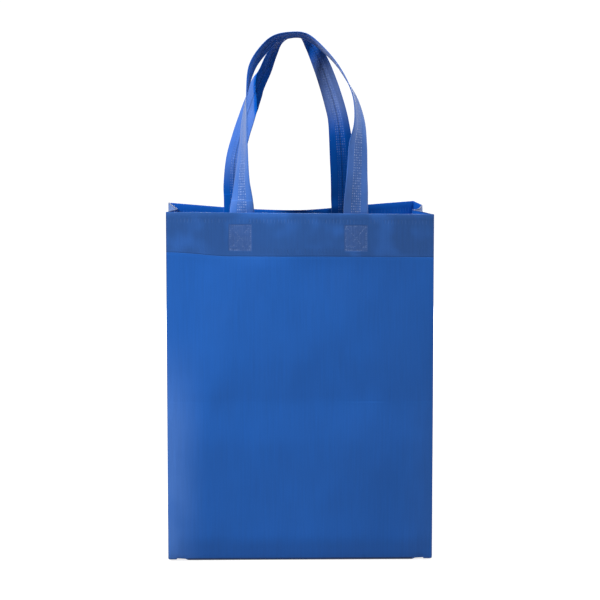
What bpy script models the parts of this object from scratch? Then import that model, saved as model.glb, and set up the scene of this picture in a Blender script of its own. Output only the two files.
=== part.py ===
"""Shopping bag of spun-bonded non-woven cloth: one folded and welded web, and two strap handles.

Metres, +Z up. The front panel faces -Y, the bag stands on its bottom panel at Z = 0, and X = 0 and
Y = 0 are the middle of the bottom. Run it with blender --background --python part.py.
"""
import bmesh
import bpy
from math import asin, atan, cos, degrees, pi, radians, sin, sqrt, tan
from mathutils import Vector

MM = 0.001

# The web
BAG_WIDTH = 271.5 * MM
BAG_HEIGHT = 359 * MM
GUSSET_WIDTH = 90 * MM
CLOTH = 0.7 * MM
HEM_DEPTH = 44 * MM
HEM_STEP = 0.8 * MM
LEFT_TUCK = 10 * MM
RIGHT_TUCK = 17.5 * MM
TUCK_POWER = 0.8
RIGHT_GUSSET_BULGE = 14 * MM
BOTTOM_FOLD_RADIUS = 3 * MM

# The packing fold across the panels
PACKING_FOLD_HEIGHT = 166 * MM
PACKING_FOLD_DENT = 1.6 * MM
PACKING_FOLD_REACH = 42 * MM
PACKING_FOLD_POWER = 4

# The welded seams of the two bottom corners, folded under the side edges
SEAM_FLANGE_WIDTH = 8.5 * MM
SEAM_FLANGE_EDGE = 0.8 * MM
SEAM_FLANGE_HEIGHT = 0.7 * MM
SEAM_LIFT = 2 * MM
SEAM_LIFT_RUN = 10 * MM

# The mouth: how the back panel's top edge leaves its flat place, as share of the half width, sideways,
# forwards and up. The straps pull the middle of the edge towards the front. The powers say how late each
# change sets in on the way up.
MOUTH_BOW = 34 * MM
MOUTH_BOW_START = 60 * MM
MOUTH_BOW_POWER = 1.5
MOUTH_RISE_POWER = 2
BACK_BEND_SHARE = 0.93
BACK_EDGE = [
    (-1.00, 0.0 * MM, 0.00, 2.0 * MM),
    (-0.59, 0.0 * MM, 0.38, -1.2 * MM),
    (-0.34, 0.0 * MM, 0.76, -2.1 * MM),
    (0.00, 0.0 * MM, 1.00, -2.3 * MM),
    (0.25, 0.0 * MM, 0.83, -0.7 * MM),
    (0.54, -0.5 * MM, 0.38, 1.2 * MM),
    (0.79, -2.0 * MM, 0.07, 2.6 * MM),
    (BACK_BEND_SHARE, -6.0 * MM, -0.18, 2.8 * MM),
    (1.00, -6.5 * MM, 0.08, -0.6 * MM),
]

# How finely the web is cut
PANEL_COLUMNS = 24
UPPER_PANEL_ROWS = 4
HEM_ROWS = 3

# The handles
STRAP_WIDTH = 25 * MM
STRAP_THICKNESS = 1.2 * MM
STRAP_WELDED_LENGTH = 42 * MM
STRAP_SEAT_GAP = 0.4 * MM
STRAP_STEP = 6 * MM
STRAP_LANES = 6
FOOT_STATIONS = (1, 0.75, 0.5, 0.25, 0.07, 0)
APEX_OFFSET = 13.2 * MM
# Each loop from where its left leg leaves the mouth to where its right one does: sideways, height over the
# bag's top edge, and the turn of the strap about its own length in degrees. 0 shows its face to the front, 90
# its edge.
FRONT_LOOP = [
    (-58.9 * MM, 6.0 * MM, 13),
    (-58.6 * MM, 15.0 * MM, 31),
    (-58.8 * MM, 33.0 * MM, 52),
    (-57.2 * MM, 68.0 * MM, 71),
    (-56.1 * MM, 93.0 * MM, 78),
    (-52.6 * MM, 127.6 * MM, 97),
    (-47.8 * MM, 147.0 * MM, 109),
    (-37.9 * MM, 161.9 * MM, 114),
    (-25.0 * MM, 174.0 * MM, 112),
    (-7.4 * MM, 178.4 * MM, 107),
    (6.0 * MM, 177.1 * MM, 106),
    (20.4 * MM, 166.9 * MM, 101),
    (37.2 * MM, 149.2 * MM, 95),
    (50.2 * MM, 128.1 * MM, 89),
    (57.0 * MM, 112.3 * MM, 78),
    (60.6 * MM, 90.0 * MM, 61),
    (58.9 * MM, 67.0 * MM, 39),
    (57.9 * MM, 38.5 * MM, 29),
    (57.2 * MM, 20.4 * MM, 17),
    (56.4 * MM, 6.0 * MM, 5),
]
BACK_LOOP = [
    (-66.2 * MM, 9.0 * MM, 21),
    (-66.9 * MM, 22.0 * MM, 26),
    (-65.5 * MM, 50.0 * MM, 40),
    (-59.7 * MM, 74.0 * MM, 46),
    (-54.0 * MM, 91.6 * MM, 48),
    (-48.0 * MM, 110.0 * MM, 53),
    (-41.6 * MM, 127.0 * MM, -54),
    (-34.9 * MM, 140.0 * MM, -58),
    (-28.2 * MM, 156.4 * MM, -64),
    (-18.3 * MM, 171.6 * MM, -76),
    (0.0 * MM, 176.6 * MM, -85),
    (12.8 * MM, 166.4 * MM, -57),
    (20.2 * MM, 152.7 * MM, -47),
    (28.5 * MM, 131.5 * MM, -41),
    (36.3 * MM, 106.5 * MM, -36),
    (40.3 * MM, 89.8 * MM, -33),
    (43.1 * MM, 65.0 * MM, -17),
    (44.6 * MM, 39.6 * MM, 4),
    (44.9 * MM, 20.7 * MM, 12),
    (45.0 * MM, 9.0 * MM, 12),
]
# The back strap's left leg bends over a slanting line, where its turn changes side: the height of that line
# on the strap's middle, the length over which it bends, how far the line runs along the strap for each unit
# that it crosses, and the reach beyond which the cloth lies square again.
BACK_BEND_RISE = 119 * MM
BACK_BEND_RUN = 5 * MM
BACK_BEND_SLANT = 1.45
BACK_BEND_REACH = 85 * MM

BODY_COLOUR = (45, 92, 168)
STRAP_COLOUR = (86, 118, 184)
CLOTH_ROUGHNESS = 0.75


def smooth_step(low, high, at):
    share = min(max((at - low) / (high - low), 0.0), 1.0)
    return share * share * (3 - 2 * share)


def through_points(points, at):
    """The values, after the first, of a smooth curve through rows that are sorted by their first value."""
    at = min(max(at, points[0][0]), points[-1][0])
    index = next(i for i in range(len(points) - 1) if at <= points[i + 1][0])
    start, end = points[index], points[index + 1]
    before = points[max(index - 1, 0)]
    after = points[min(index + 2, len(points) - 1)]
    span = end[0] - start[0]
    share = (at - start[0]) / span
    values = []
    for low, high, left, right in zip(start[1:], end[1:], before[1:], after[1:]):
        slope_in = (high - left) / (end[0] - before[0]) * span
        slope_out = (right - low) / (after[0] - start[0]) * span
        values.append(
            (2 * share**3 - 3 * share**2 + 1) * low
            + (share**3 - 2 * share**2 + share) * slope_in
            + (3 * share**2 - 2 * share**3) * high
            + (share**3 - share**2) * slope_out
        )
    return values


def back_edge(across):
    """Sideways shift, bow share and rise of the back panel's top edge, from its left end at -1 to 1."""
    bend = next(i for i, row in enumerate(BACK_EDGE) if row[0] == BACK_BEND_SHARE)
    run = BACK_EDGE[: bend + 1] if across <= BACK_BEND_SHARE else BACK_EDGE[bend:]
    return through_points(run, across)


def gusset_tuck(side, height):
    """How far the middle crease of a side gusset lies inside the side edges."""
    tuck = LEFT_TUCK if side < 0 else RIGHT_TUCK
    return tuck * smooth_step(GUSSET_WIDTH / 2, BAG_HEIGHT, height) ** TUCK_POWER


def half_depth(across, height):
    """Half the distance from the front panel to the back one, less where the gussets are tucked in."""
    ends = [sqrt((GUSSET_WIDTH / 2) ** 2 - gusset_tuck(side, height) ** 2) for side in (-1, 1)]
    return ends[0] + (ends[1] - ends[0]) * (across + 1) / 2


def packing_fold(height):
    """The dent of the fold that the bag was packed by."""
    return PACKING_FOLD_DENT * max(0.0, 1 - abs(height - PACKING_FOLD_HEIGHT) / PACKING_FOLD_REACH)


def front_panel(across, height):
    """Outer face of the front panel at a share of its half width and a height."""
    depth = half_depth(across, height) - packing_fold(height) * (1 - across**PACKING_FOLD_POWER)
    return Vector((across * BAG_WIDTH / 2, -depth, height))


def back_panel(across, height):
    """Outer face of the back panel, with the bowed mouth fading out towards the bottom."""
    shift, bow, rise = back_edge(across)
    share = max(0.0, (height - MOUTH_BOW_START) / (BAG_HEIGHT - MOUTH_BOW_START)) ** MOUTH_BOW_POWER
    depth = half_depth(across, height) - packing_fold(height) * (1 - across**PACKING_FOLD_POWER)
    return Vector((
        across * BAG_WIDTH / 2 + shift * share,
        depth - bow * MOUTH_BOW * share,
        height + rise * (height / BAG_HEIGHT) ** MOUTH_RISE_POWER,
    ))


def gusset(side, along, height):
    """Outer face of a side gusset: a soft V between the front edge at -1 and the back one at 1. The right one
    is tucked in further than its cloth needs, so its back half bulges forwards at the mouth."""
    front, back = front_panel(side, height), back_panel(side, height)
    crease = (front + back) / 2
    crease.x = side * (BAG_WIDTH / 2 - gusset_tuck(side, height))
    place = crease.lerp(front if along < 0 else back, abs(along))
    if side > 0 and along > 0:
        place.y -= RIGHT_GUSSET_BULGE * sin(pi * along) * smooth_step(MOUTH_BOW_START, BAG_HEIGHT, height)
    return place


def bottom_height(across):
    """Underside of the bottom: flat in the middle and lifted beside the seam flanges, which nearly touch."""
    inset = BAG_WIDTH / 2 - abs(across)
    flange_end = SEAM_FLANGE_WIDTH + SEAM_FLANGE_EDGE
    if inset <= SEAM_FLANGE_WIDTH:
        return SEAM_FLANGE_HEIGHT
    if inset <= flange_end:
        share = (inset - SEAM_FLANGE_WIDTH) / SEAM_FLANGE_EDGE
        return SEAM_FLANGE_HEIGHT + (SEAM_LIFT - SEAM_FLANGE_HEIGHT) * share
    return SEAM_LIFT * (1 - smooth_step(flange_end, flange_end + SEAM_LIFT_RUN, inset))


def folded(box):
    """Where a point of the plain open box lies once the web is folded into the bag."""
    across, along, height = box.x / (BAG_WIDTH / 2), box.y / (GUSSET_WIDTH / 2), box.z
    on_side = abs(abs(across) - 1) < 1e-4
    on_panel = abs(abs(along) - 1) < 1e-4
    if height < BOTTOM_FOLD_RADIUS:
        # The wall turns under the bottom with a small round.
        slope = asin(1 - height / BOTTOM_FOLD_RADIUS)
        draw_in = BOTTOM_FOLD_RADIUS * (1 - cos(slope))
        lift = bottom_height(box.x) * (1 - height / BOTTOM_FOLD_RADIUS)
        return Vector((
            across * (BAG_WIDTH / 2 - (draw_in if on_side else 0.0)),
            along * (GUSSET_WIDTH / 2 - (draw_in if on_panel else 0.0)),
            height + lift,
        ))
    if on_panel:
        return front_panel(across, height) if along < 0 else back_panel(across, height)
    return gusset(1 if across > 0 else -1, along, height)


def material(name, colour):
    """Principled material from a colour in 0-255 display values."""
    made = bpy.data.materials.new(name)
    made.use_nodes = True
    shader = made.node_tree.nodes["Principled BSDF"]
    linear = [((value / 255 + 0.055) / 1.055) ** 2.4 for value in colour]
    shader.inputs["Base Color"].default_value = (*linear, 1.0)
    shader.inputs["Roughness"].default_value = CLOTH_ROUGHNESS
    shader.inputs["Metallic"].default_value = 0.0
    return made


def cut_across(bm, axis, places):
    """Adds an edge loop square to an axis at each place along it."""
    normal = Vector((0, 0, 0))
    normal[axis] = 1
    for place in places:
        everything = bm.verts[:] + bm.edges[:] + bm.faces[:]
        bmesh.ops.bisect_plane(bm, geom=everything, plane_co=normal * place, plane_no=normal)


def object_from(bm, name, look):
    bmesh.ops.recalc_face_normals(bm, faces=bm.faces[:])
    mesh = bpy.data.meshes.new(name)
    bm.to_mesh(mesh)
    bm.free()
    mesh.materials.append(look)
    made = bpy.data.objects.new(name, mesh)
    bpy.context.scene.collection.objects.link(made)
    return made


def even_places(low, high, count):
    return [low + (high - low) * i / count for i in range(1, count)]


def build_body(look):
    """The web: an open box cut into rows and columns, folded into shape, then given its layers of cloth."""
    bm = bmesh.new()
    bmesh.ops.create_cube(bm, size=1.0)
    for vert in bm.verts:
        vert.co.x *= BAG_WIDTH
        vert.co.y *= GUSSET_WIDTH
        vert.co.z = (vert.co.z + 0.5) * BAG_HEIGHT
    lid = [face for face in bm.faces if face.normal.z > 0.5]
    bmesh.ops.delete(bm, geom=lid, context="FACES_ONLY")

    half_width = BAG_WIDTH / 2
    flange = half_width - SEAM_FLANGE_WIDTH
    lift_top = flange - SEAM_FLANGE_EDGE
    lift_end = lift_top - SEAM_LIFT_RUN
    edges = [lift_end, (lift_end + lift_top) / 2, lift_top, flange]
    columns = even_places(-lift_end, lift_end, PANEL_COLUMNS)
    bend = BACK_BEND_SHARE * half_width
    cut_across(bm, 0, columns + edges + [-place for place in edges] + [bend])
    half_gusset = GUSSET_WIDTH / 2
    near_fold = half_gusset - 2 * BOTTOM_FOLD_RADIUS
    cut_across(bm, 1, [-near_fold, -half_gusset / 2, 0, half_gusset / 2, near_fold])

    hem_edge = BAG_HEIGHT - HEM_DEPTH
    rows = [0.3 * BOTTOM_FOLD_RADIUS, BOTTOM_FOLD_RADIUS, GUSSET_WIDTH / 2]
    rows += [PACKING_FOLD_HEIGHT + step * PACKING_FOLD_REACH for step in (-1, 0, 1)]
    rows += even_places(PACKING_FOLD_HEIGHT + PACKING_FOLD_REACH, hem_edge, UPPER_PANEL_ROWS)
    rows += [(GUSSET_WIDTH / 2 + PACKING_FOLD_HEIGHT - PACKING_FOLD_REACH) / 2]
    rows += [hem_edge - HEM_STEP, hem_edge] + even_places(hem_edge, BAG_HEIGHT, HEM_ROWS)
    cut_across(bm, 2, rows)

    # Two layers of cloth in the hem and in the seam flanges, one elsewhere.
    layers = bm.verts.layers.deform.verify()
    for vert in bm.verts:
        in_flange = vert.co.z < BOTTOM_FOLD_RADIUS and abs(vert.co.x) > flange - HEM_STEP / 2
        in_hem = vert.co.z > hem_edge - HEM_STEP / 2
        vert[layers][0] = 1.0 if in_hem or in_flange else 0.5
        vert.co = folded(vert.co)
    made = object_from(bm, "bag_body", look)
    made.vertex_groups.new(name="layers")
    walls = made.modifiers.new("Walls", "SOLIDIFY")
    walls.thickness = 2 * CLOTH
    walls.offset = -1
    walls.use_even_offset = True
    walls.vertex_group = "layers"
    return made


def strap_route(loop, panel, inward):
    """Points along the strap's middle as (distance, x, y, z, turn), its two feet flat inside the hem."""
    seat = 2 * CLOTH + STRAP_SEAT_GAP + STRAP_THICKNESS / 2
    top = max(row[1] for row in loop)

    def panel_y(x, height):
        return panel(x / (BAG_WIDTH / 2), height).y

    def lean(x, height):
        """Angle of the panel's inner face to the front, seen from above."""
        ends = [panel_y(x + side * STRAP_WIDTH / 2, height) for side in (-1, 1)]
        return atan((ends[1] - ends[0]) / STRAP_WIDTH)

    def seated(x, height):
        """Where the strap's middle lies with the strap clear of the panel's inner face all across."""
        slope = lean(x, height)
        places = [STRAP_WIDTH * (lane / STRAP_LANES - 0.5) for lane in range(STRAP_LANES + 1)]
        reach = max(inward * (panel_y(x + place, height) - tan(slope) * place) for place in places)
        return inward * (reach + seat / cos(slope))

    def foot(x, facing):
        heights = [BAG_HEIGHT - STRAP_WELDED_LENGTH * share for share in FOOT_STATIONS]
        return [(x, seated(x, height), height, degrees(-lean(x, height) * facing)) for height in heights]

    points = foot(loop[0][0], 1)
    for x, rise, turn in loop:
        foot_x = loop[0][0] if x < 0 else loop[-1][0]
        y = seated(foot_x, BAG_HEIGHT)
        points.append((x, y + (-inward * APEX_OFFSET - y) * rise / top, BAG_HEIGHT + rise, turn))
    points += reversed(foot(loop[-1][0], -1))
    route, distance = [], 0.0
    for index, point in enumerate(points):
        if index:
            distance += (Vector(point[:3]) - Vector(points[index - 1][:3])).length
        route.append((distance, *point))
    return route


def strap_surface(route, bend):
    """Functions for the strap's point at a distance along it and a place across it, and for the slant of the
    mesh's rows there, which follow the line of the bend."""
    if bend:
        rise, run, slant, reach = bend
        index = next(i for i, row in enumerate(route) if row[3] > BAG_HEIGHT + rise)
        below, above = route[index - 1], route[index]
        line = below[0] + (above[0] - below[0]) * (BAG_HEIGHT + rise - below[3]) / (above[3] - below[3])
        ridge = STRAP_WIDTH / 2 * sin(radians(below[4] - above[4]) / 2)

    def turn(distance, place):
        if not bend:
            return through_points(route, distance)[3]
        before = through_points(route[:index], distance)[3]
        after = through_points(route[index:], distance)[3]
        return before + (after - before) * smooth_step(-run / 2, run / 2, distance + slant * place - line)

    def row_slant(distance):
        return slant * (1 - smooth_step(run, reach, abs(distance - line))) if bend else 0.0

    def point(distance, place):
        nudge = STRAP_STEP / 4
        spot = Vector(through_points(route, distance)[:3])
        ahead = Vector(through_points(route, distance + nudge)[:3])
        behind = Vector(through_points(route, distance - nudge)[:3])
        along = (ahead - behind).normalized()
        inner = along.cross(Vector((0, -1, 0))).normalized()
        outward = inner.cross(along)
        if bend:
            # The bend is a straight ridge, so the strap's middle comes forward where it crosses it.
            spot.y -= ridge * max(0.0, 1 - abs(distance - line) / (slant * STRAP_WIDTH / 2))
        lanes = round(abs(place) / STRAP_WIDTH * STRAP_LANES)
        for lane in range(lanes):
            angle = radians(turn(distance, place * (lane + 0.5) / lanes))
            spot += (inner * cos(angle) + outward * sin(angle)) * place / lanes
        return spot

    return point, row_slant


def build_strap(name, loop, bend, panel, inward, look):
    """A ribbon swept along its route, then given its thickness."""
    route = strap_route(loop, panel, inward)
    point, row_slant = strap_surface(route, bend)
    count = round(route[-1][0] / STRAP_STEP)
    places = [STRAP_WIDTH * (lane / STRAP_LANES - 0.5) for lane in range(STRAP_LANES + 1)]
    bm = bmesh.new()
    rows = []
    for index in range(count + 1):
        distance = route[-1][0] * index / count
        slant = row_slant(distance)
        rows.append([bm.verts.new(point(distance - slant * place, place)) for place in places])
    for row, following in zip(rows, rows[1:]):
        for lane in range(STRAP_LANES):
            bm.faces.new((row[lane], row[lane + 1], following[lane + 1], following[lane]))
    made = object_from(bm, name, look)
    thickness = made.modifiers.new("Folded cloth", "SOLIDIFY")
    thickness.thickness = STRAP_THICKNESS
    thickness.offset = 0
    thickness.use_even_offset = True
    return made


def main():
    for obj in list(bpy.data.objects):
        bpy.data.objects.remove(obj, do_unlink=True)
    body_look = material("Body cloth", BODY_COLOUR)
    strap_look = material("Strap cloth", STRAP_COLOUR)
    build_body(body_look)
    build_strap("front_handle", FRONT_LOOP, None, front_panel, 1, strap_look)
    back_bend = (BACK_BEND_RISE, BACK_BEND_RUN, BACK_BEND_SLANT, BACK_BEND_REACH)
    build_strap("back_handle", BACK_LOOP, back_bend, back_panel, -1, strap_look)


main()
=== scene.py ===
import bmesh
import bpy
from math import asin, atan, cos, degrees, exp, pi, radians, sin, sqrt, tan
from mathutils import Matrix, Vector, noise


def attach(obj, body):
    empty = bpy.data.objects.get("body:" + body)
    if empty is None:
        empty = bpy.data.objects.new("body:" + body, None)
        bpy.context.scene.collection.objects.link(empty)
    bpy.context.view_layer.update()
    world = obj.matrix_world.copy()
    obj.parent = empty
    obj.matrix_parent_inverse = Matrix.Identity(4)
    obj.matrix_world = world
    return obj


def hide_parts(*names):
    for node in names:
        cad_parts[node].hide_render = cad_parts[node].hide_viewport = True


mm = 0.001
# lengths that differ by less are equal, and edges bent by more degrees stay sharp
tiny = 1e-6
sharpAngle = 32

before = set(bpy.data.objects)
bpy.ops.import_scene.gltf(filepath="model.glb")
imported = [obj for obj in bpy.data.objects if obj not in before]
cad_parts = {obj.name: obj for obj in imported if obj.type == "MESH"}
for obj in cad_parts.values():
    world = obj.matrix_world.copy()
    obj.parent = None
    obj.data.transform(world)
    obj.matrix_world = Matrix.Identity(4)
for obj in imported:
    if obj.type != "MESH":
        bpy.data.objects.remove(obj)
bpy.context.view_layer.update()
print("frame loaded:", sorted(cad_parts))


# The photograph's view: a long lens, a little to the left of square on and a little above
view = {
    "aim": (0.0007, 0.0, 0.2642),
    "azimuth": -1.2,
    "elevation": 8.2,
    "distance": 2.7,
    "lens": 156.9,
    "sensor": 36.0,
    "farthest": 100,
}


def smoothStep(low, high, at):
    share = min(max((at - low) / (high - low), 0.0), 1.0)
    return share * share * (3 - 2 * share)


# values of a smooth curve through rows sorted by their first number
def throughPoints(points, at):
    at = min(max(at, points[0][0]), points[-1][0])
    index = next(i for i in range(len(points) - 1) if at <= points[i + 1][0])
    start, end = points[index], points[index + 1]
    before = points[max(index - 1, 0)]
    after = points[min(index + 2, len(points) - 1)]
    span = end[0] - start[0]
    share = (at - start[0]) / span
    values = []
    for low, high, left, right in zip(start[1:], end[1:], before[1:], after[1:]):
        slopeIn = (high - left) / (end[0] - before[0]) * span
        slopeOut = (right - low) / (after[0] - start[0]) * span
        values.append(
            (2 * share**3 - 3 * share**2 + 1) * low
            + (share**3 - 2 * share**2 + share) * slopeIn
            + (3 * share**2 - 2 * share**3) * high
            + (share**3 - share**2) * slopeOut
        )
    return values


def linear(colour):
    return (*[((value / 255 + 0.055) / 1.055) ** 2.4 for value in colour], 1.0)


# A socket that takes part in plain sums. node() makes any other node.
class Wire:
    def __init__(self, tree, socket=None):
        self.tree = tree
        self.socket = socket

    def node(self, kind, settings=None, values=None, out=0):
        made = self.tree.nodes.new(kind)
        for name, value in (settings or {}).items():
            setattr(made, name, value)
        for name, value in (values or {}).items():
            if isinstance(value, Wire):
                self.tree.links.new(value.socket, made.inputs[name])
            else:
                made.inputs[name].default_value = value
        return Wire(self.tree, made.outputs[out])

    def maths(self, operation, *others):
        return self.node("ShaderNodeMath", {"operation": operation}, dict(enumerate((self, *others))))

    def __add__(self, other):
        return self.maths("ADD", other)

    __radd__ = __add__

    def __mul__(self, other):
        return self.maths("MULTIPLY", other)

    __rmul__ = __mul__

    def __sub__(self, other):
        return self.maths("SUBTRACT", other)

    def __rsub__(self, other):
        return self.maths("MULTIPLY", -1.0) + other

    def __truediv__(self, other):
        return self.maths("DIVIDE", other)

    def below(self, limit):
        return self.maths("LESS_THAN", limit)

    def above(self, limit):
        return self.maths("GREATER_THAN", limit)

    def lesser(self, other):
        return self.maths("MINIMUM", other)

    def size(self):
        return self.maths("ABSOLUTE")

    # smooth wave from -1 to 1 that repeats every pitch
    def wave(self, pitch):
        return (self * (2 * pi / pitch)).maths("SINE")

    # soft speckle over this place
    def noisy(self, scale, detail):
        return self.node("ShaderNodeTexNoise", values={"Vector": self, "Scale": scale, "Detail": detail})

    # 1 as far as half to either side of 0, with a soft edge
    def band(self, half, edge):
        return self.node(
            "ShaderNodeMapRange",
            {"interpolation_type": "SMOOTHSTEP"},
            {"Value": self.size(), "From Min": half + edge, "From Max": half - edge},
        )

    # 1 on marks that come back every pitch, with their half width and edge as shares of it
    def dashes(self, pitch, half, edge):
        return ((self / pitch).maths("FRACT") - 0.5).band(half, edge)

    # 1 between two places along a strip, with a soft edge at both
    def stretch(self, start, end, edge):
        return self.between(start - edge, start + edge) - self.between(end - edge, end + edge)

    # from first to last while this goes from low to high
    def between(self, low, high, first=0.0, last=1.0):
        return self.node(
            "ShaderNodeMapRange",
            {"interpolation_type": "SMOOTHSTEP"},
            {"Value": self, "From Min": low, "From Max": high, "To Min": first, "To Max": last},
        )


def newMaterial(name):
    made = bpy.data.materials.new(name)
    made.use_nodes = True
    shader = made.node_tree.nodes["Principled BSDF"]
    return made, shader, Wire(made.node_tree)


def blendColour(wire, share, first, second):
    return wire.node(
        "ShaderNodeMix",
        {"data_type": "RGBA"},
        {0: share, 6: first, 7: second},
        out=2,
    )


def plug(wire, shader, name):
    wire.tree.links.new(wire.socket, shader.inputs[name])


# The bag's body, in metres. The CAD has its main sizes, and the softer forms are only here.
bag = {
    "width": 271.5 * mm,
    "height": 359 * mm,
    "gusset": 90 * mm,
    "cloth": 0.7 * mm,
    "singleLayer": 0.5,
    "hem": 44 * mm,
    "hemStep": 0.8 * mm,
    "leftTuck": 10 * mm,
    "leftCrease": 18 * mm,
    "rightTuck": 17.5 * mm,
    "rightBulge": 14 * mm,
    "tuckPower": 0.8,
    "bottomRound": 3 * mm,
    "bottomSteps": (0.12, 0.3, 0.6, 1),
    "foldHeight": 166 * mm,
    "foldDent": 1.6 * mm,
    "foldReach": 42 * mm,
    "foldPower": 4,
    "flangeWidth": 8.5 * mm,
    "flangeEdge": 0.8 * mm,
    "flangeHeight": 0.7 * mm,
    "flangeLift": 2 * mm,
    "flangeSag": 0.35,
    "flangeRun": 11.5 * mm,
    "flangeDrop": 3.5 * mm,
    "flangeSteps": (0.35, 0.65, 1),
    "frontTilt": 1.6 * mm,
    "tiltPower": 4,
    "hemLift": 4 * mm,
    "hemLiftHigh": 15 * mm,
    "hemLiftStart": 0.5,
    "mouthBow": 34 * mm,
    "mouthBowStart": 60 * mm,
    "mouthBowPower": 1.5,
    "backRisePower": 2,
    "bend": 0.93,
    "crown": 3.6 * mm,
    "crownPower": 12,
    "crownRise": 25 * mm,
    "crownFall": 150 * mm,
    "foldRound": 0.45 * mm,
    "foldRoundSteps": 2,
    "foldRoundAngle": 50,
    "columns": 46,
    "gussetColumns": 14,
    "lowerRows": 28,
    "upperRows": 26,
    "hemRows": 9,
    "onFace": 1e-4,
    "waves": {
        "rise": 1.3 * mm,
        "slow": (2.1, 11),
        "slowShare": 1.5,
        "fine": (7, 26),
        "fineShare": 0.35,
        "finePlace": 4.1,
        "seedStep": 3.3,
        "frontSeed": 1.7,
        "backSeed": 8.2,
        "gussetSeed": 5,
        "gussetShare": 0.6,
        "calmPower": 6,
        "calmBottom": 25 * mm,
        "calmHem": 0.93,
        "calmHemStart": -12 * mm,
        "calmHemEnd": 4 * mm,
    },
}
# the back panel's top edge: share of the half width, sideways, share of the bow, upwards
backEdgeRows = [
    (-1.00, 0.0 * mm, 0.00, 2.0 * mm),
    (-0.59, 0.0 * mm, 0.38, -1.2 * mm),
    (-0.34, 0.0 * mm, 0.76, -2.1 * mm),
    (0.00, 0.0 * mm, 1.00, -2.3 * mm),
    (0.25, 0.0 * mm, 0.83, -0.7 * mm),
    (0.54, -0.5 * mm, 0.38, 1.2 * mm),
    (0.79, -2.0 * mm, 0.07, 2.6 * mm),
    (bag["bend"], -6.0 * mm, -0.18, 2.8 * mm),
    (1.00, -6.5 * mm, 0.08, -0.6 * mm),
]


def backEdge(across):
    turn = next(i for i, row in enumerate(backEdgeRows) if row[0] == bag["bend"])
    rows = backEdgeRows[: turn + 1] if across <= bag["bend"] else backEdgeRows[turn:]
    return throughPoints(rows, across)


def gussetTuck(side, height):
    tuck = bag["leftTuck"] if side < 0 else bag["rightTuck"]
    return tuck * smoothStep(bag["gusset"] / 2, bag["height"], height) ** bag["tuckPower"]


def halfDepth(across, height):
    ends = [sqrt((bag["gusset"] / 2) ** 2 - gussetTuck(side, height) ** 2) for side in (-1, 1)]
    return ends[0] + (ends[1] - ends[0]) * (across + 1) / 2


def packingFold(height):
    return bag["foldDent"] * max(0.0, 1 - abs(height - bag["foldHeight"]) / bag["foldReach"])


# soft swells of the front panel: sideways, height, half width, half height, rise
frontSwells = [
    (-16 * mm, 292 * mm, 22 * mm, 50 * mm, 1.5 * mm),
    (-76 * mm, 212 * mm, 24 * mm, 55 * mm, 1.4 * mm),
    (-104 * mm, 128 * mm, 26 * mm, 40 * mm, 1.2 * mm),
    (62 * mm, 96 * mm, 45 * mm, 40 * mm, 1.0 * mm),
    (-34 * mm, 262 * mm, 11 * mm, 34 * mm, 0.7 * mm),
]


def frontSwell(across, height):
    total = 0.0
    for x, z, wide, high, rise in frontSwells:
        reach = ((across * bag["width"] / 2 - x) / wide) ** 2 + ((height - z) / high) ** 2
        total += rise * exp(-reach)
    return total


# waves of the cloth, slow and fine, nearly still at the folds, the hem and the bottom
def ripple(across, height, seed):
    waves = bag["waves"]
    pastHem = height - bag["height"] + bag["hem"]
    calm = (1 - across ** waves["calmPower"]) * smoothStep(0, waves["calmBottom"], height)
    calm *= 1 - waves["calmHem"] * smoothStep(waves["calmHemStart"], waves["calmHemEnd"], pastHem)
    wide, high = waves["slow"]
    slow = noise.noise(Vector((across * wide + seed, seed * waves["seedStep"], height * high)))
    wide, high = waves["fine"]
    fine = noise.noise(Vector((across * wide + seed, waves["finePlace"], height * high)))
    return waves["rise"] * calm * (slow * waves["slowShare"] + fine * waves["fineShare"])


# how far a panel swells, most of it flat, between the bottom and the hem
def crown(across, height):
    hemEdge = bag["height"] - bag["hem"]
    rise = smoothStep(0, bag["crownRise"], height)
    fall = smoothStep(hemEdge - bag["crownFall"], hemEdge, height)
    return bag["crown"] * (1 - across ** bag["crownPower"]) * rise * (1 - fall)


# the front's top edge falls a little to the right, and the hem's lower edge climbs at the left end
def frontRise(across, height):
    off = (height - bag["height"] + bag["hem"]) / bag["hemLiftHigh"]
    climb = bag["hemLift"] * smoothStep(bag["hemLiftStart"], 1.0, -across) * exp(-off * off)
    return climb - bag["frontTilt"] * across * (height / bag["height"]) ** bag["tiltPower"]


# how far either panel lies from the bag's middle, with the packing fold and the swell
def panelDepth(across, height):
    dent = packingFold(height) * (1 - across ** bag["foldPower"])
    return halfDepth(across, height) - dent + crown(across, height)


def frontPanel(across, height):
    rise = frontRise(across, height)
    return Vector((across * bag["width"] / 2, -panelDepth(across, height), height + rise))


def backPanel(across, height):
    shift, bow, rise = backEdge(across)
    start = bag["mouthBowStart"]
    share = max(0.0, (height - start) / (bag["height"] - start)) ** bag["mouthBowPower"]
    return Vector((
        across * bag["width"] / 2 + shift * share,
        panelDepth(across, height) - bow * bag["mouthBow"] * share,
        height + rise * (height / bag["height"]) ** bag["backRisePower"],
    ))


# a gusset, tucked in between the edges of the panels
def gussetFace(side, along, height):
    front, back = frontPanel(side, height), backPanel(side, height)
    crease = (front + back) / 2
    crease.x = side * (bag["width"] / 2 - gussetTuck(side, height))
    if side < 0:
        crease.y -= bag["leftCrease"] * smoothStep(bag["gusset"] / 2, bag["height"], height)
    place = crease.lerp(front if along < 0 else back, abs(along))
    if side > 0 and along > 0:
        share = smoothStep(bag["mouthBowStart"], bag["height"], height)
        place.y -= bag["rightBulge"] * sin(pi * along) * share
    return place


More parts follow.
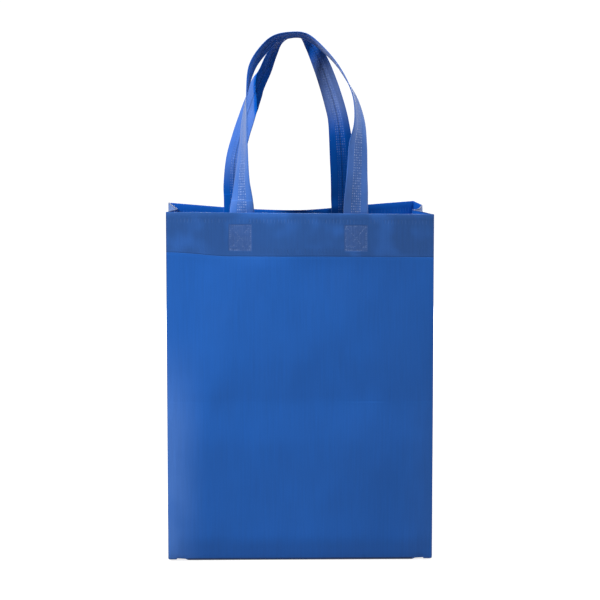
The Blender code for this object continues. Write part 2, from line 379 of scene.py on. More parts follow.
# how high the bottom's rim lies over the floor: on the flange, over its edge and down to the flat middle
def bottomHeight(x):
    inset = bag["width"] / 2 - abs(x)
    flangeEnd = bag["flangeWidth"] + bag["flangeEdge"]
    if inset <= bag["flangeWidth"]:
        return bag["flangeHeight"]
    if inset <= flangeEnd:
        share = (inset - bag["flangeWidth"]) / bag["flangeEdge"]
        return bag["flangeHeight"] + (bag["flangeLift"] - bag["flangeHeight"]) * share
    runEnd = flangeEnd + bag["flangeRun"]
    sag = 1 - bag["flangeSag"] * smoothStep(flangeEnd, runEnd, inset)
    return bag["flangeLift"] * sag * (1 - smoothStep(runEnd - bag["flangeDrop"], runEnd, inset))


# where a point of the plain open box lies in the folded bag
def foldedPlace(box):
    across, along, height = box.x / (bag["width"] / 2), box.y / (bag["gusset"] / 2), box.z
    onSide = abs(abs(across) - 1) < bag["onFace"]
    onPanel = abs(abs(along) - 1) < bag["onFace"]
    waves = bag["waves"]
    if height < bag["bottomRound"] - tiny:
        slope = asin(1 - height / bag["bottomRound"])
        drawIn = bag["bottomRound"] * (1 - cos(slope))
        lift = bottomHeight(box.x) * (1 - height / bag["bottomRound"])
        return Vector((
            across * (bag["width"] / 2 - (drawIn if onSide else 0.0)),
            along * (bag["gusset"] / 2 - (drawIn if onPanel else 0.0)),
            height + lift,
        ))
    if onPanel and along < 0:
        lift = ripple(across, height, waves["frontSeed"]) - frontSwell(across, height)
        return frontPanel(across, height) + Vector((0, lift, 0))
    if onPanel:
        return backPanel(across, height) + Vector((0, ripple(across, height, waves["backSeed"]), 0))
    side = 1 if across > 0 else -1
    lift = ripple(along, height, waves["gussetSeed"] + side) * waves["gussetShare"]
    return gussetFace(side, along, height) + Vector((lift, 0, 0))


# u runs round the bag from the middle of the front, v upwards, both in metres of cloth
def clothPlace(box, normal):
    half, depth = bag["width"] / 2, bag["gusset"]
    if abs(normal.z) > 0.5:
        return box.x, box.y - depth
    if abs(normal.y) > 0.5:
        return (box.x, box.z) if normal.y < 0 else (2 * half + depth - box.x, box.z)
    return normal.x * (half + box.y + depth / 2), box.z


def cutAcross(bm, axis, places):
    normal = Vector((0, 0, 0))
    normal[axis] = 1
    for place in places:
        whole = bm.verts[:] + bm.edges[:] + bm.faces[:]
        bmesh.ops.bisect_plane(bm, geom=whole, plane_co=normal * place, plane_no=normal)


def evenPlaces(low, high, count):
    return [low + (high - low) * i / count for i in range(1, count)]


def finishPiece(bm, name, looks, node):
    mesh = bpy.data.meshes.new(name)
    bm.to_mesh(mesh)
    bm.free()
    for look in looks:
        mesh.materials.append(look)
    mesh.shade_smooth()
    mesh.set_sharp_from_angle(angle=radians(sharpAngle))
    piece = bpy.data.objects.new(name, mesh)
    bpy.context.scene.collection.objects.link(piece)
    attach(piece, "root")
    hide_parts(node)
    return piece


# walls on both sides of the drawn face or on one, thinner where the group layers says less than 1
def addWalls(piece, thick, offset):
    piece.vertex_groups.new(name="layers")
    walls = piece.modifiers.new("walls", "SOLIDIFY")
    walls.thickness = thick
    walls.offset = offset
    walls.use_even_offset = True
    walls.vertex_group = "layers"
    walls.material_offset = 1


# the cloth's own map: the whole of it, its u and its v
def clothMap(wire):
    uv = wire.node("ShaderNodeUVMap", {"uv_map": "cloth"})
    u = wire.node("ShaderNodeSeparateXYZ", values={0: uv})
    return uv, u, Wire(u.tree, u.socket.node.outputs[1])


# what both cloths end with: colour times tone, relief, and the values that are the same all over
def finishCloth(wire, shader, base, tone, height, cloth, face):
    toned = wire.node("ShaderNodeVectorMath", {"operation": "SCALE"}, {0: base, 3: tone})
    plug(toned, shader, "Base Color")
    values = {"Height": height, "Distance": cloth["bumpHigh"], "Strength": 1.0}
    plug(wire.node("ShaderNodeBump", values=values), shader, "Normal")
    shader.inputs["Roughness"].default_value = cloth["roughness"]
    shader.inputs["Sheen Weight"].default_value = face["sheen"]
    shader.inputs["Sheen Roughness"].default_value = cloth["sheenRoughness"]
    shader.inputs["Sheen Tint"].default_value = cloth["sheenTint"]
    shader.inputs["Specular IOR Level"].default_value = face["specular"]


# Cloth of the body: blue, with upright fibre streaks, the welds of the hem and of the handles' feet.
# A pair for a line is its half width and its soft edge, and one for a noise is its scale and detail.
bodyCloth = {
    "outside": {
        "colour": (12, 84, 167),
        "hem": (27, 75, 140),
        "hemBloom": (37, 92, 170),
        "sheen": 0.2,
        "specular": 0.3,
    },
    "inside": {
        "colour": (4, 78, 168),
        "hem": (4, 76, 164),
        "hemBloom": (6, 82, 172),
        "sheen": 0.06,
        "specular": 0.08,
    },
    "roughness": 0.6,
    "sheenRoughness": 0.4,
    "sheenTint": (0.86, 0.9, 1.0, 1.0),
    "bumpHigh": 0.5 * mm,
    "streakScale": (520, 22, 1),
    "streakNoise": (1.0, 3.0),
    "bloomNoise": (14.0, 2.0),
    "hemBloomNoise": (26.0, 2.0),
    "grainNoise": (900.0, 2.0),
    "patchy": (0.4, 0.62),
    "hemPatchy": (0.46, 0.66),
    "hemPatchyShare": 0.7,
    "bondPitch": 1.5 * mm,
    "hemLine": (0.45 * mm, 0.4 * mm),
    "underHem": 2.2 * mm,
    "softLine": (0.9 * mm, 0.9 * mm),
    "rim": 0.9 * mm,
    "foldLine": (0.5 * mm, 0.4 * mm),
    "packingFold": (0.03, 0.1, 0.3, 1.0),
    "bottomLine": (3.6 * mm, 2.0 * mm),
    "bottomLineEnd": (0.1165, 0.1145),
    "upperWeld": 350.8 * mm,
    "upperTick": (2.0 * mm, 0.6 * mm),
    "lowerWeld": 320.0 * mm,
    "lowerTick": (2.6 * mm, 0.6 * mm),
    "tickPitch": 3.5 * mm,
    "tick": (0.14, 0.08),
    "tickStrength": (0.4, 0.6, 0.3, 1.0),
    "tickShare": 0.07,
    "dotColour": (110, 140, 190),
    "dotShare": 0.38,
    "patchColour": (54, 84, 142),
    "patchShare": 0.65,
    "patches": (-60.7 * mm, 56.5 * mm, 316.5 * mm, 427.7 * mm),
    "patchMiddle": 333.8 * mm,
    "patchHigh": 12.2 * mm,
    "patchSecondRow": 3.6 * mm,
    "patchWide": 10.4 * mm,
    "patchRim": 1.3 * mm,
    "patchEdge": 0.4 * mm,
    "patchDots": 2.1 * mm,
    "patchDot": (0.27, 0.12),
    "patchLine": (0.5 * mm, 0.35 * mm),
    "patchCross": (0.6 * mm, 0.4 * mm),
    "hatchPitch": 1.6 * mm,
    "hatchLine": (0.2, 0.15),
    "hatchShare": 0.35,
    "wornNoise": (260.0, 2.0),
    "worn": (0.38, 0.62),
    # painted light: the paler colour of a band along the front's side folds and of the left gusset's back
    # half near the top, where the key lamp falls
    "paintedLightColour": (96, 134, 198),
    "sidePaintedLight": 0.32,
    "sidePaintedLightReach": 22 * mm,
    "sidePaintedLightHigh": (0.25, 0.12),
    "sidePaintedLightLeft": (-0.02, 0.02, 1.0, 0.15),
    "sidePaintedLightPatchy": (0.3, 0.6, 0.5, 1.0),
    "cornerPaintedLight": 0.32,
    "cornerHigh": (336 * mm, 350 * mm),
    "cornerWide": (-176 * mm, -186 * mm),
    "gussetStart": (135 * mm, 137 * mm),
    "gussetEnd": (225 * mm, 227 * mm),
    "rightShade": 0.13,
    "rightShadeWide": (-0.03, 0.10),
    # in tone, rim is a painted highlight, gussetRim turns it into painted shade on the gussets, and
    # foldLine and bottomLine are painted shade
    "tone": {
        "streak": 0.12,
        "bloom": 0.14,
        "underHem": 0.08,
        "rim": 0.2,
        "gussetRim": 3.2,
        "packingFold": 0.06,
        "hemLine": 0.1,
        "lowerWeld": 0.12,
        "foldLine": 0.22,
        "bottomLine": 0.6,
    },
    "relief": {
        "grain": 0.10,
        "streak": 0.14,
        "bond": 0.05,
        "hem": 0.25,
        "patch": 0.3,
        "dots": 0.4,
        "ticks": 0.35,
        "hemLine": 0.3,
        "packingFold": 0.25,
    },
}


# the box with a cross in it where a handle's foot is welded on: its area, and its rows of points
def footWeld(u, v):
    wide, high, pitch = bodyCloth["patchWide"], bodyCloth["patchHigh"], bodyCloth["patchDots"]
    rim, edge, line = bodyCloth["patchRim"], bodyCloth["patchEdge"], bodyCloth["patchLine"]
    near = (u - bodyCloth["patches"][0]).size()
    for centre in bodyCloth["patches"][1:]:
        near = near.lesser((u - centre).size())
    tall = (v - bodyCloth["patchMiddle"]).size()
    area = near.band(wide + rim, edge) * tall.band(high + rim, edge)
    pointsUp = v.dashes(pitch, *bodyCloth["patchDot"])
    pointsAcross = u.dashes(pitch, *bodyCloth["patchDot"])
    sides = (near - wide).band(*line) * tall.below(high) * pointsUp
    secondRow = (v - bodyCloth["patchMiddle"] + high - bodyCloth["patchSecondRow"]).band(*line)
    rails = (tall - high).band(*line) + secondRow
    rails = rails * near.below(wide) * pointsAcross
    cross = (near * (high / wide) - tall).band(*bodyCloth["patchCross"])
    cross = cross * near.below(wide) * tall.below(high) * pointsUp
    hatch = u.dashes(bodyCloth["hatchPitch"], *bodyCloth["hatchLine"])
    hatch = hatch * area * bodyCloth["hatchShare"]
    place = u.node("ShaderNodeCombineXYZ", values={0: u, 1: v})
    worn = place.noisy(*bodyCloth["wornNoise"]).between(*bodyCloth["worn"])
    return area, (sides + rails + cross + hatch).lesser(1.0) * worn


def makeBodyCloth(name, side):
    face = bodyCloth[side]
    made, shader, wire = newMaterial(name)
    uv, u, v = clothMap(wire)
    place = wire.node("ShaderNodeTexCoord", out=3)

    long = wire.node("ShaderNodeMapping", values={0: uv, 3: bodyCloth["streakScale"]})
    streak = long.noisy(*bodyCloth["streakNoise"])
    bloom = place.noisy(*bodyCloth["bloomNoise"])
    hemBloom = place.noisy(*bodyCloth["hemBloomNoise"])
    grain = place.noisy(*bodyCloth["grainNoise"])
    patchy = bloom.between(*bodyCloth["patchy"])
    bond = u.wave(bodyCloth["bondPitch"]) * v.wave(bodyCloth["bondPitch"])

    # the lines of the hem, the folds and the bottom, and the welds
    half = bag["width"] / 2
    hemEdge = bag["height"] - bag["hem"]
    hem = v.above(hemEdge)
    hemLine = (v - hemEdge).band(*bodyCloth["hemLine"])
    underHem = (v - hemEdge + bodyCloth["underHem"]).band(*bodyCloth["softLine"])
    # the rim along the top edge gets a painted highlight, and on the gussets a painted shade line instead
    rim = v.above(bag["height"] - bodyCloth["rim"])
    # painted shade along the bag's upright folds at its corners
    folds = [half, half + bag["gusset"], 3 * half + bag["gusset"]]
    foldLine = sum((u.size() - fold).band(*bodyCloth["foldLine"]) for fold in folds)
    # painted shade along the bottom fold, over the middle of the front and the bottom
    bottomLine = v.between(*bodyCloth["bottomLine"]) * u.size().between(*bodyCloth["bottomLineEnd"])
    fold = (v - bag["foldHeight"]).band(*bodyCloth["softLine"])
    fold = fold * u.between(*bodyCloth["packingFold"]) * patchy
    tick = u.dashes(bodyCloth["tickPitch"], *bodyCloth["tick"])
    tick = tick * streak.between(*bodyCloth["tickStrength"])
    upper = tick * (v - bodyCloth["upperWeld"]).band(*bodyCloth["upperTick"])
    lower = tick * (v - bodyCloth["lowerWeld"]).band(*bodyCloth["lowerTick"]) * patchy
    area, points = footWeld(u, v)
    inGusset = u.size().between(*bodyCloth["gussetStart"]) - u.size().between(*bodyCloth["gussetEnd"])

    hemPatchy = hemBloom.between(*bodyCloth["hemPatchy"]) * bodyCloth["hemPatchyShare"]
    hemTone = blendColour(wire, hemPatchy, linear(face["hem"]), linear(face["hemBloom"]))
    base = blendColour(wire, hem, linear(face["colour"]), hemTone)
    # painted light, outside only: a paler band along the front's side folds, mostly the left one and low
    # down, and on the left gusset's back half near the top
    if side == "outside":
        reach = bodyCloth["sidePaintedLightReach"]
        paintedLight = (u.size() - half).band(reach, reach) * v.between(*bodyCloth["sidePaintedLightHigh"])
        paintedLight = paintedLight * bloom.between(*bodyCloth["sidePaintedLightPatchy"]) * u.between(*bodyCloth["sidePaintedLightLeft"])
        corner = inGusset * v.between(*bodyCloth["cornerHigh"]) * u.between(*bodyCloth["cornerWide"])
        paintedLight = paintedLight * bodyCloth["sidePaintedLight"] + corner * bodyCloth["cornerPaintedLight"]
        base = blendColour(wire, paintedLight, base, linear(bodyCloth["paintedLightColour"]))
    base = blendColour(wire, area * bodyCloth["patchShare"], base, linear(bodyCloth["patchColour"]))
    marks = points * bodyCloth["dotShare"] + upper * bodyCloth["tickShare"]
    base = blendColour(wire, marks, base, linear(bodyCloth["dotColour"]))

    part = bodyCloth["tone"]
    tone = 1 + (streak - 0.5) * part["streak"] * 2 + (bloom - 0.5) * part["bloom"] * 2
    tone = tone + underHem * part["underHem"] + rim * (1 - inGusset * part["gussetRim"]) * part["rim"]
    tone = tone + fold * part["packingFold"] - hemLine * part["hemLine"] - lower * part["lowerWeld"]
    tone = tone - foldLine * part["foldLine"] - bottomLine * part["bottomLine"]
    if side == "outside":
        tone = tone - u.between(*bodyCloth["rightShadeWide"]) * bodyCloth["rightShade"]

    part = bodyCloth["relief"]
    height = grain * part["grain"] + streak * part["streak"] + bond * part["bond"] + hem * part["hem"]
    height = height - area * part["patch"] - points * part["dots"] - (upper + lower) * part["ticks"]
    height = height - hemLine * part["hemLine"] - fold * part["packingFold"]
    finishCloth(wire, shader, base, tone, height, bodyCloth, face)
    return made


def makeBag(looks):
    bm = bmesh.new()
    bmesh.ops.create_cube(bm, size=1.0)
    for vert in bm.verts:
        vert.co.x *= bag["width"]
        vert.co.y *= bag["gusset"]
        vert.co.z = (vert.co.z + 0.5) * bag["height"]
    lid = [face for face in bm.faces if face.normal.z > 0.5]
    bmesh.ops.delete(bm, geom=lid, context="FACES_ONLY")

    half, halfGusset = bag["width"] / 2, bag["gusset"] / 2
    flange = half - bag["flangeWidth"]
    liftTop = flange - bag["flangeEdge"]
    liftEnd = liftTop - bag["flangeRun"]
    drop = [liftEnd + bag["flangeDrop"] * share for share in bag["flangeSteps"]]
    edges = [liftEnd, *drop, liftTop, flange, half - 2 * bag["bottomRound"]]
    columns = evenPlaces(-liftEnd, liftEnd, bag["columns"])
    cutAcross(bm, 0, columns + edges + [-place for place in edges] + [bag["bend"] * half])
    nearFold = halfGusset - 2 * bag["bottomRound"]
    cutAcross(bm, 1, [-nearFold, nearFold] + evenPlaces(-nearFold, nearFold, bag["gussetColumns"]))

    hemEdge = bag["height"] - bag["hem"]
    rows = [share * bag["bottomRound"] for share in bag["bottomSteps"]]
    rows += evenPlaces(bag["bottomRound"], bag["foldHeight"], bag["lowerRows"]) + [bag["foldHeight"]]
    rows += evenPlaces(bag["foldHeight"], hemEdge - bag["hemStep"], bag["upperRows"])
    rows += [hemEdge - bag["hemStep"], hemEdge]
    rows += evenPlaces(hemEdge, bag["height"], bag["hemRows"])
    cutAcross(bm, 2, rows)

    # the cloth's own map comes before the fold, while the faces are square
    cloth = bm.loops.layers.uv.new("cloth")
    for face in bm.faces:
        for loop in face.loops:
            loop[cloth].uv = clothPlace(loop.vert.co, face.normal)
    layers = bm.verts.layers.deform.verify()
    for vert in bm.verts:
        inFlange = vert.co.z < bag["bottomRound"] - tiny and abs(vert.co.x) > flange - bag["hemStep"] / 2
        inHem = vert.co.z > hemEdge - bag["hemStep"] / 2
        vert[layers][0] = 1.0 if inHem or inFlange else bag["singleLayer"]
        vert.co = foldedPlace(vert.co)
    bmesh.ops.recalc_face_normals(bm, faces=bm.faces[:])
    piece = finishPiece(bm, "bagShell", looks, "bag_body")
    addWalls(piece, 2 * bag["cloth"], -1)
    rounds = piece.modifiers.new("rounds", "BEVEL")
    rounds.width = bag["foldRound"]
    rounds.segments = bag["foldRoundSteps"]
    rounds.limit_method = "ANGLE"
    rounds.angle_limit = radians(bag["foldRoundAngle"])
    print("bag shell made")
    return piece


# The handles: a strip folded to the strap's width and spot welded along its middle
strap = {
    "width": 25 * mm,
    "thick": 1.2 * mm,
    "welded": 42 * mm,
    "seatGap": 0.4 * mm,
    "step": 2.5 * mm,
    "lanes": 14,
    "apexOffset": 13.2 * mm,
    "weldBand": 4.8 * mm,
    "weldBandEdge": 2 * mm,
    "weldThin": 0.3,
    "edgeWide": 0.1 * mm,
    "edgeLayer": 0.7,
    "footStations": (1, 0.75, 0.5, 0.25, 0.07, 0),
    "seatLanes": 6,
    "nudge": 1.5 * mm,
}
# each loop from its left leg to its right one: sideways, height over the bag's top edge, turn in degrees
frontLoop = [
    (-58.9 * mm, 6.0 * mm, 13),
    (-58.6 * mm, 15.0 * mm, 31),
    (-58.8 * mm, 33.0 * mm, 52),
    (-57.2 * mm, 68.0 * mm, 71),
    (-56.1 * mm, 93.0 * mm, 78),
    (-52.6 * mm, 127.6 * mm, 97),
    (-47.8 * mm, 147.0 * mm, 109),
    (-37.9 * mm, 161.9 * mm, 114),
    (-25.0 * mm, 174.0 * mm, 112),
    (-7.4 * mm, 178.4 * mm, 107),
    (6.0 * mm, 177.1 * mm, 106),
    (20.4 * mm, 166.9 * mm, 101),
    (37.2 * mm, 149.2 * mm, 95),
    (50.2 * mm, 128.1 * mm, 89),
    (57.0 * mm, 112.3 * mm, 78),
    (60.6 * mm, 90.0 * mm, 61),
    (58.9 * mm, 67.0 * mm, 39),
    (57.9 * mm, 38.5 * mm, 29),
    (57.2 * mm, 20.4 * mm, 17),
    (56.4 * mm, 6.0 * mm, 5),
]
backLoop = [
    (-66.2 * mm, 9.0 * mm, 21),
    (-66.9 * mm, 22.0 * mm, 26),
    (-65.5 * mm, 50.0 * mm, 40),
    (-59.7 * mm, 74.0 * mm, 46),
    (-54.0 * mm, 91.6 * mm, 48),
    (-48.0 * mm, 110.0 * mm, 53),
    (-41.6 * mm, 127.0 * mm, -54),
    (-34.9 * mm, 140.0 * mm, -58),
    (-28.2 * mm, 156.4 * mm, -64),
    (-18.3 * mm, 171.6 * mm, -76),
    (0.0 * mm, 176.6 * mm, -85),
    (12.8 * mm, 166.4 * mm, -57),
    (20.2 * mm, 152.7 * mm, -47),
    (28.5 * mm, 131.5 * mm, -41),
    (36.3 * mm, 106.5 * mm, -36),
    (40.3 * mm, 89.8 * mm, -33),
    (43.1 * mm, 65.0 * mm, -17),
    (44.6 * mm, 39.6 * mm, 4),
    (44.9 * mm, 20.7 * mm, 12),
    (45.0 * mm, 9.0 * mm, 12),
]
# the back strap's left leg bends over a slanting line, where its turn changes side
backBend = {
    "rise": 119 * mm,
    "run": 5 * mm,
    "slant": 1.45,
    "reach": 85 * mm,
}


# the strap's middle from foot to foot: distance along it, place and turn
def strapRoute(loop, panel, inward):
    seat = 2 * bag["cloth"] + strap["seatGap"] + strap["thick"] / 2
    top = max(row[1] for row in loop)

    def panelY(x, height):
        return panel(x / (bag["width"] / 2), height).y

    def lean(x, height):
        ends = [panelY(x + side * strap["width"] / 2, height) for side in (-1, 1)]
        return atan((ends[1] - ends[0]) / strap["width"])

    # where the strap lies against the cloth, clear of it over its whole width
    def seated(x, height):
        slope = lean(x, height)
        lanes = strap["seatLanes"]
        places = [strap["width"] * (lane / lanes - 0.5) for lane in range(lanes + 1)]
        reach = max(inward * (panelY(x + place, height) - tan(slope) * place) for place in places)
        return inward * (reach + seat / cos(slope))

    def foot(x, facing):
        heights = [bag["height"] - strap["welded"] * share for share in strap["footStations"]]
        return [(x, seated(x, height), height, degrees(-lean(x, height) * facing)) for height in heights]

    points = foot(loop[0][0], 1)
    for x, rise, turn in loop:
        y = seated(loop[0][0] if x < 0 else loop[-1][0], bag["height"])
        points.append((x, y + (-inward * strap["apexOffset"] - y) * rise / top, bag["height"] + rise, turn))
    points += reversed(foot(loop[-1][0], -1))
    route, distance = [], 0.0
    for index, spot in enumerate(points):
        if index:
            distance += (Vector(spot[:3]) - Vector(points[index - 1][:3])).length
        route.append((distance, *spot))
    return route


# two functions: the strap's point at a distance along and a place across, and the slant of the mesh's rows
def strapSurface(route, bend):
    if bend:
        height = bag["height"] + bend["rise"]
        index = next(i for i, row in enumerate(route) if row[3] > height)
        below, above = route[index - 1], route[index]
        line = below[0] + (above[0] - below[0]) * (height - below[3]) / (above[3] - below[3])
        ridge = strap["width"] / 2 * sin(radians(below[4] - above[4]) / 2)
        print("back strap's bend at", round(line, 4), "m along it")

    def turn(distance, place):
        if not bend:
            return throughPoints(route, distance)[3]
        before = throughPoints(route[:index], distance)[3]
        after = throughPoints(route[index:], distance)[3]
        past = distance + bend["slant"] * place - line
        return before + (after - before) * smoothStep(-bend["run"] / 2, bend["run"] / 2, past)

    def rowSlant(distance):
        if not bend:
            return 0.0
        return bend["slant"] * (1 - smoothStep(bend["run"], bend["reach"], abs(distance - line)))

    def point(distance, place):
        spot = Vector(throughPoints(route, distance)[:3])
        ahead = Vector(throughPoints(route, distance + strap["nudge"])[:3])
        behind = Vector(throughPoints(route, distance - strap["nudge"])[:3])
        along = (ahead - behind).normalized()
        inner = along.cross(Vector((0, -1, 0))).normalized()
        outward = inner.cross(along)
        if bend:
            spot.y -= ridge * max(0.0, 1 - abs(distance - line) / (bend["slant"] * strap["width"] / 2))
        lanes = round(abs(place) / strap["width"] * strap["lanes"])
        for lane in range(lanes):
            angle = radians(turn(distance, place * (lane + 0.5) / lanes))
            spot += (inner * cos(angle) + outward * sin(angle)) * place / lanes
        return spot

    return point, rowSlant


# Cloth of the straps, with places along them in metres from the left foot's end, and pairs as above
strapCloth = {
    # one and the same cloth: the outer face's paler colour is painted light, the inner face's darker, more
    # saturated colour painted shade
    "outside": {
        "colour": (51, 98, 174),
        "sheen": 0.85,
        "specular": 0.1,
        "valley": 0.05,
        "dots": 0.62,
        "dotted": ((-0.1, 0.095), (0.375, 0.6)),
        "faint": 0.15,
        "gaps": 0.16,
        "shade": 0.33,
        "shaded": (0.41, 0.45),
    },
    "inside": {
        "colour": (4, 84, 180),
        "sheen": 0.05,
        "specular": 0.02,
        "valley": 0.35,
        "dots": 0.36,
        "dotted": ((-0.1, 0.1), (0.27, 0.375), (0.42, 0.6)),
        "faint": 0.3,
        "gaps": 0.1,
        "shade": 0.5,
        "shaded": (0.315, 0.385),
    },
    "roughness": 0.55,
    "sheenRoughness": 0.45,
    "sheenTint": (0.9, 0.93, 1.0, 1.0),
    "bumpHigh": 0.5 * mm,
    "streakScale": (60, 600, 1),
    "streakNoise": (1.0, 3.0),
    "streak": 0.2,
    "slowNoise": (30.0, 1.0),
    "slow": 0.16,
    "dotColour": (150, 170, 214),
    "dotAlong": 2.6 * mm,
    "dotAcross": 2.1 * mm,
    "dot": (0.24, 0.1),
    "dottedEdge": 0.008,
    "unevenNoise": (330.0, 0.0),
    "uneven": (0.35, 0.6, 0.25, 1.0),
    "weldBandEdge": 0.3 * mm,
    "crease": (0.7 * mm, 0.5 * mm),
    "footFold": 54.5 * mm,
    "footFoldLine": (0.8 * mm, 0.8 * mm),
    "footFoldTone": 0.16,
    # painted light on the inner face: paler windows up the legs, and painted shade along one edge and near
    # the left foot
    "paintedLightStreaks": (0.85, 0.5),
    "leftColour": (80, 114, 184),
    "leftStart": (0.055, 0.085),
    "leftEnd": (0.1585, 0.1625),
    "leftSlant": 1.65,
    "leftStrength": (0.1, 0.165, 0.7, 1.1),
    "rightColour": (92, 116, 172),
    "rightStart": (0.262, 0.29),
    "rightEnd": (0.318, 0.36),
    "rightStrength": 1.1,
    "edgeShade": 0.28,
    "edgeAcross": (-4 * mm, -7 * mm),
    "edgeAlong": (0.2, 0.26),
    "footShades": ((0.1, 0.06, 1.0, 0.8), (0.16, 0.1, 1.0, 0.94)),
    "relief": {
        "streak": 0.1,
        "dots": 0.25,
        "weldBand": 0.3,
        "footFold": 0.3,
    },
}


# the two faces of a strap, the outer one painted lighter and the inner one painted darker; on the inner
# one, paler windows between foot and top are painted light, and one edge and the left foot painted shade
def makeStrapCloth(name, side):
    face = strapCloth[side]
    made, shader, wire = newMaterial(name)
    uv, u, v = clothMap(wire)
    fine = wire.node("ShaderNodeMapping", values={0: uv, 3: strapCloth["streakScale"]})
    streak = fine.noisy(*strapCloth["streakNoise"])
    slow = uv.noisy(*strapCloth["slowNoise"])

    # the weld's dots, some of them pressed harder than others
    uneven = uv.noisy(*strapCloth["unevenNoise"]).between(*strapCloth["uneven"])
    pitch = strapCloth["dotAcross"]
    dotU = u.dashes(strapCloth["dotAlong"], *strapCloth["dot"])
    dotV = (v + pitch / 2).dashes(pitch, *strapCloth["dot"])
    inBand = v.band(strap["weldBand"], strapCloth["weldBandEdge"])
    dots = dotU * dotV * inBand * uneven
    clear = sum(u.stretch(start, end, strapCloth["dottedEdge"]) for start, end in face["dotted"])
    clear = clear * (1 - face["faint"]) + face["faint"]

    crease = v.band(*strapCloth["crease"])
    # a paler line along the bend just above the foot: painted highlight
    footFold = (u - strapCloth["footFold"]).band(*strapCloth["footFoldLine"])
    tone = 1 + (streak - 0.5) * strapCloth["streak"] + (slow - 0.5) * strapCloth["slow"]
    tone = tone - crease * face["valley"]
    # darker between the weld's dots: painted shade
    tone = tone - (inBand - dots) * clear * face["gaps"] + footFold * strapCloth["footFoldTone"]
    tone = tone * (1 - u.between(*face["shaded"]) * face["shade"])
    base = linear(face["colour"])
    if side == "inside":
        # painted light: paler windows up both legs, where the key lamp falls; then painted shade along one
        # edge and near the left foot
        least, change = strapCloth["paintedLightStreaks"]
        streaked = least + (streak - 0.5) * change
        slanted = u + v * strapCloth["leftSlant"]
        left = u.between(*strapCloth["leftStart"]) - slanted.between(*strapCloth["leftEnd"])
        left = left * u.between(*strapCloth["leftStrength"]) * streaked
        right = u.between(*strapCloth["rightStart"]) - u.between(*strapCloth["rightEnd"])
        right = right * streaked * strapCloth["rightStrength"]
        base = blendColour(wire, left, base, linear(strapCloth["leftColour"]))
        base = blendColour(wire, right, base, linear(strapCloth["rightColour"]))
        farEdge = v.between(*strapCloth["edgeAcross"]) * u.between(*strapCloth["edgeAlong"])
        tone = tone * (1 - farEdge * strapCloth["edgeShade"])
        for shade in strapCloth["footShades"]:
            tone = tone * u.between(*shade)
    base = blendColour(wire, dots * clear * face["dots"], base, linear(strapCloth["dotColour"]))

    part = strapCloth["relief"]
    height = streak * part["streak"] - dots * part["dots"] - inBand * part["weldBand"]
    height = height - crease * face["valley"] + footFold * part["footFold"]
    finishCloth(wire, shader, base, tone, height, strapCloth, face)
    return made


def makeStrap(name, loop, bend, panel, inward, looks, node):
    route = strapRoute(loop, panel, inward)
    point, rowSlant = strapSurface(route, bend)
    length = route[-1][0]
    count = round(length / strap["step"])
    lanes = strap["lanes"]
    bm = bmesh.new()
    bmesh.ops.create_grid(bm, x_segments=count, y_segments=lanes, size=0.5)
    cloth = bm.loops.layers.uv.new("cloth")
    layers = bm.verts.layers.deform.verify()
    for vert in bm.verts:
        distance = (vert.co.x + 0.5) * length
        place = vert.co.y * strap["width"]
        distance -= rowSlant(distance) * place
        for corner in vert.link_loops:
            corner[cloth].uv = (distance, place)
        across = abs(place)
        edge = strap["edgeLayer"] if across > strap["width"] / 2 - strap["edgeWide"] else 1.0
        weld = 1 - smoothStep(strap["weldBand"], strap["weldBand"] + strap["weldBandEdge"], across)
        vert[layers][0] = edge * (1 - strap["weldThin"] * weld)
        vert.co = point(distance, place)
    if inward > 0:
        bmesh.ops.reverse_faces(bm, faces=bm.faces[:])
    piece = finishPiece(bm, name, looks, node)
    addWalls(piece, strap["thick"], 0)
    smooth = piece.modifiers.new("smooth", "SUBSURF")
    smooth.levels = 1
    smooth.render_levels = 1
    print(name, "made, strap length", round(length, 3))
    return piece


bodyOutside = makeBodyCloth("bodyOutside", "outside")
bodyInside = makeBodyCloth("bodyInside", "inside")
outerLook = makeStrapCloth("strapOuter", "outside")
innerLook = makeStrapCloth("strapInner", "inside")
makeBag([bodyOutside, bodyInside])
makeStrap("strapFront", frontLoop, None, frontPanel, 1, [outerLook, innerLook], "front_handle")
makeStrap("strapBack", backLoop, backBend, backPanel, -1, [outerLook, innerLook], "back_handle")


# Floor, light and camera
studio = {
    "floorReach": 30.0,
    "floorDrop": 0.4 * mm,
    "floorRoughness": 0.9,
    "floorColour": 0.3,
    "floorGlow": 0.8,
    "glowReach": (0.5, 1.5),
    "sky": 0.17,
    "key": 45.0,
    "keyPlace": (-1.17, -0.76, 1.38),
    "keySize": 0.45,
    "rim": 20.0,
    "rimPlace": (0.84, -0.14, 1.4),
    "rimSize": 0.7,
    "back": 14.0,
    "backPlace": (0.15, 1.75, 0.45),
    "backSize": 0.8,
    "aim": (0.0, 0.0, 0.3),
}


# 1 for the rays that show the plain background: straight ones, and those off gloss or through glass
def backgroundRays(wire):
    straight = wire.node("ShaderNodeLightPath")
    paths = straight.socket.node.outputs
    glossy, clear = [Wire(wire.tree, paths[name]) for name in ("Is Glossy Ray", "Is Transmission Ray")]
    return (straight + glossy + clear).lesser(1.0)


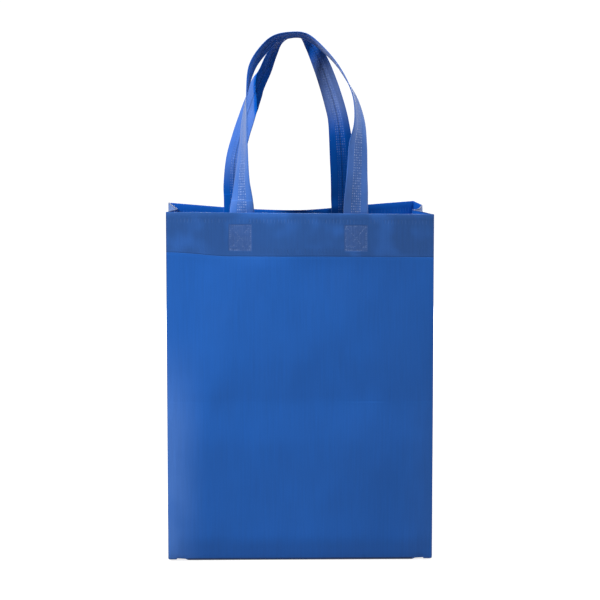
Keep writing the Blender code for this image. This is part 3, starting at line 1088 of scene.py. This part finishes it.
def makeFloor():
    bm = bmesh.new()
    bmesh.ops.create_grid(bm, x_segments=1, y_segments=1, size=studio["floorReach"])
    bmesh.ops.translate(bm, verts=bm.verts[:], vec=(0, 0, -studio["floorDrop"]))
    mesh = bpy.data.meshes.new("floor")
    bm.to_mesh(mesh)
    bm.free()
    made, shader, wire = newMaterial("paper")
    shade = studio["floorColour"]
    shader.inputs["Base Color"].default_value = (shade, shade, shade, 1)
    shader.inputs["Roughness"].default_value = studio["floorRoughness"]
    shader.inputs["Specular IOR Level"].default_value = 0.0
    shader.inputs["Emission Color"].default_value = (1, 1, 1, 1)
    seen = backgroundRays(wire)
    place = wire.node("ShaderNodeTexCoord", out=3)
    away = wire.node("ShaderNodeVectorMath", {"operation": "LENGTH"}, {0: place}, out=1)
    glow = away.between(*studio["glowReach"], studio["floorGlow"], 1.0)
    plug(seen * glow, shader, "Emission Strength")
    mesh.materials.append(made)
    floor = bpy.data.objects.new("floor", mesh)
    bpy.context.scene.collection.objects.link(floor)


def makeLamp(name):
    lamp = bpy.data.lights.new(name, "AREA")
    lamp.shape = "DISK"
    lamp.size = studio[name + "Size"]
    lamp.energy = studio[name]
    made = bpy.data.objects.new(name, lamp)
    made.location = studio[name + "Place"]
    facing = Vector(studio["aim"]) - made.location
    made.rotation_euler = facing.to_track_quat("-Z", "Y").to_euler()
    bpy.context.scene.collection.objects.link(made)


def makeSky():
    world = bpy.data.worlds.new("studio")
    world.use_nodes = True
    bpy.context.scene.world = world
    wire = Wire(world.node_tree)
    seen = backgroundRays(wire)
    back = world.node_tree.nodes["Background"]
    back.inputs["Color"].default_value = (1, 1, 1, 1)
    wire.tree.links.new((seen * (1 - studio["sky"]) + studio["sky"]).socket, back.inputs["Strength"])


def makeCamera():
    lens = bpy.data.cameras.new("camera")
    lens.lens = view["lens"]
    lens.sensor_width = view["sensor"]
    lens.clip_end = view["farthest"]
    camera = bpy.data.objects.new("camera", lens)
    turn, rise = radians(view["azimuth"]), radians(view["elevation"])
    away = Vector((sin(turn) * cos(rise), -cos(turn) * cos(rise), sin(rise)))
    camera.location = Vector(view["aim"]) + away * view["distance"]
    camera.rotation_euler = (-away).to_track_quat("-Z", "Y").to_euler()
    bpy.context.scene.collection.objects.link(camera)
    bpy.context.scene.camera = camera


makeFloor()
makeSky()
makeLamp("key")
makeLamp("rim")
makeLamp("back")
makeCamera()
bpy.context.scene.view_settings.view_transform = "Standard"
print("studio ready")
